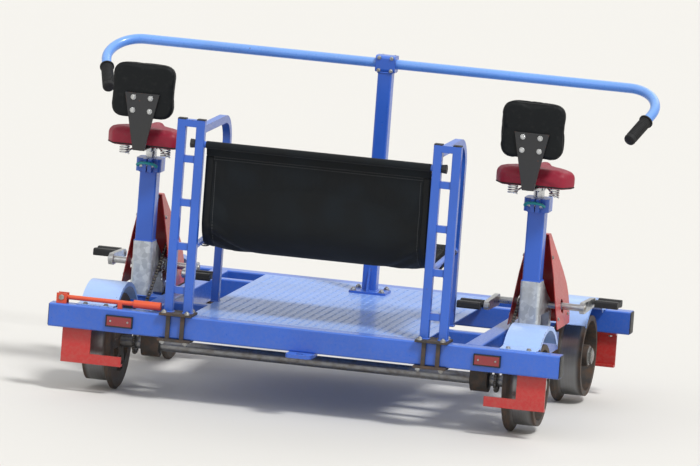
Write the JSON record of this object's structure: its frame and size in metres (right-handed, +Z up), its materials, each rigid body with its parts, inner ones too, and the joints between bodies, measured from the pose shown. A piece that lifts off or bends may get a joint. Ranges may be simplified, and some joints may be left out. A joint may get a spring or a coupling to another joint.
{
  "type": "pedal rail car",
  "caption": "Four-wheeled pedal rail car with two pedal stations over the rails, a canvas bench between them and a full-width handlebar on a central post.",
  "frame": {"origin": "on the floor plane at the foot of the wheel flanges, under the middle of the car", "axes": "+Z up, +Y forward along the track, +X to the right"},
  "size_m": [1.9696, 1.41, 1.1338],
  "materials": {
    "blue_paint": "glossy",
    "light_blue_paint": "glossy",
    "red_paint": "satin",
    "orange_paint": "satin",
    "galvanised": "satin",
    "wheel_steel": "worn",
    "axle_steel": "worn",
    "chain_steel": "oiled",
    "crank_metal": "satin",
    "black_plastic": "matt",
    "canvas": "woven",
    "saddle_cover": "satin",
    "grip_rubber": "matt",
    "reflector_red": "glossy"
  },
  "bodies": {
    "chassis": {"bearing_housings": "wheel_steel", "bench_frame": "blue_paint", "bench_post_left": "blue_paint", "bench_post_right": "blue_paint", "bench_sling": "canvas", "brake_lever": "orange_paint", "chain_case_left": "red_paint", "chain_case_right": "red_paint", "chain_left": "chain_steel", "chain_right": "chain_steel", "crank_pedestal_left": "galvanised", "crank_pedestal_right": "galvanised", "cross_tubes": "blue_paint", "floor_plate": "light_blue_paint", "front_beam": "blue_paint", "grips": "grip_rubber", "handlebar": "blue_paint", "handlebar_post": "blue_paint", "mast_left": "blue_paint", "mast_right": "blue_paint", "mudguards": "light_blue_paint", "outrigger_left": "blue_paint", "outrigger_right": "blue_paint", "post_clamps": "wheel_steel", "rail_guards": "red_paint", "rear_beam": "blue_paint", "reflectors": "reflector_red", "side_members": "blue_paint"},
    "rear_wheelset": {"rear_axle": "axle_steel", "rear_wheels": "wheel_steel"},
    "front_wheelset": {"front_axle": "axle_steel", "front_wheels": "wheel_steel"},
    "crank_left": {"crankset_left": "crank_metal"},
    "pedal_left_inner": {"pedal_left_inner": "black_plastic"},
    "pedal_left_outer": {"pedal_left_outer": "black_plastic"},
    "seat_left": {"seat_post_left": "axle_steel", "saddle_left": "saddle_cover", "backrest_left": "black_plastic"},
    "crank_right": {"crankset_right": "crank_metal"},
    "pedal_right_inner": {"pedal_right_inner": "black_plastic"},
    "pedal_right_outer": {"pedal_right_outer": "black_plastic"},
    "seat_right": {"seat_post_right": "axle_steel", "saddle_right": "saddle_cover", "backrest_right": "black_plastic"}
  },
  "joints": [
    {"name": "rear_wheelset_spin", "type": "hinge", "parent": "chassis", "child": "rear_wheelset", "pos_m": [0, -0.4, 0.165], "axis": [-1, 0, 0], "continuous": true},
    {"name": "front_wheelset_spin", "type": "hinge", "parent": "chassis", "child": "front_wheelset", "pos_m": [0, 0.4, 0.165], "axis": [-1, 0, 0], "continuous": true},
    {"name": "crank_left_spin", "type": "hinge", "parent": "chassis", "child": "crank_left", "pos_m": [-0.68, 0, 0.385], "axis": [-1, 0, 0], "continuous": true},
    {"name": "pedal_left_inner_spin", "type": "hinge", "parent": "crank_left", "child": "pedal_left_inner", "pos_m": [-0.48, -0.17, 0.385], "axis": [-1, 0, 0], "continuous": true},
    {"name": "pedal_left_outer_spin", "type": "hinge", "parent": "crank_left", "child": "pedal_left_outer", "pos_m": [-0.88, 0.17, 0.385], "axis": [-1, 0, 0], "continuous": true},
    {"name": "seat_left_height", "type": "slide", "parent": "chassis", "child": "seat_left", "axis": [0, 0, 1], "range_m": [-0.03, 0.1]},
    {"name": "crank_right_spin", "type": "hinge", "parent": "chassis", "child": "crank_right", "pos_m": [0.68, 0, 0.385], "axis": [-1, 0, 0], "continuous": true},
    {"name": "pedal_right_inner_spin", "type": "hinge", "parent": "crank_right", "child": "pedal_right_inner", "pos_m": [0.48, -0.17, 0.385], "axis": [-1, 0, 0], "continuous": true},
    {"name": "pedal_right_outer_spin", "type": "hinge", "parent": "crank_right", "child": "pedal_right_outer", "pos_m": [0.88, 0.17, 0.385], "axis": [-1, 0, 0], "continuous": true},
    {"name": "seat_right_height", "type": "slide", "parent": "chassis", "child": "seat_right", "axis": [0, 0, 1], "range_m": [-0.03, 0.1]}
  ]
}
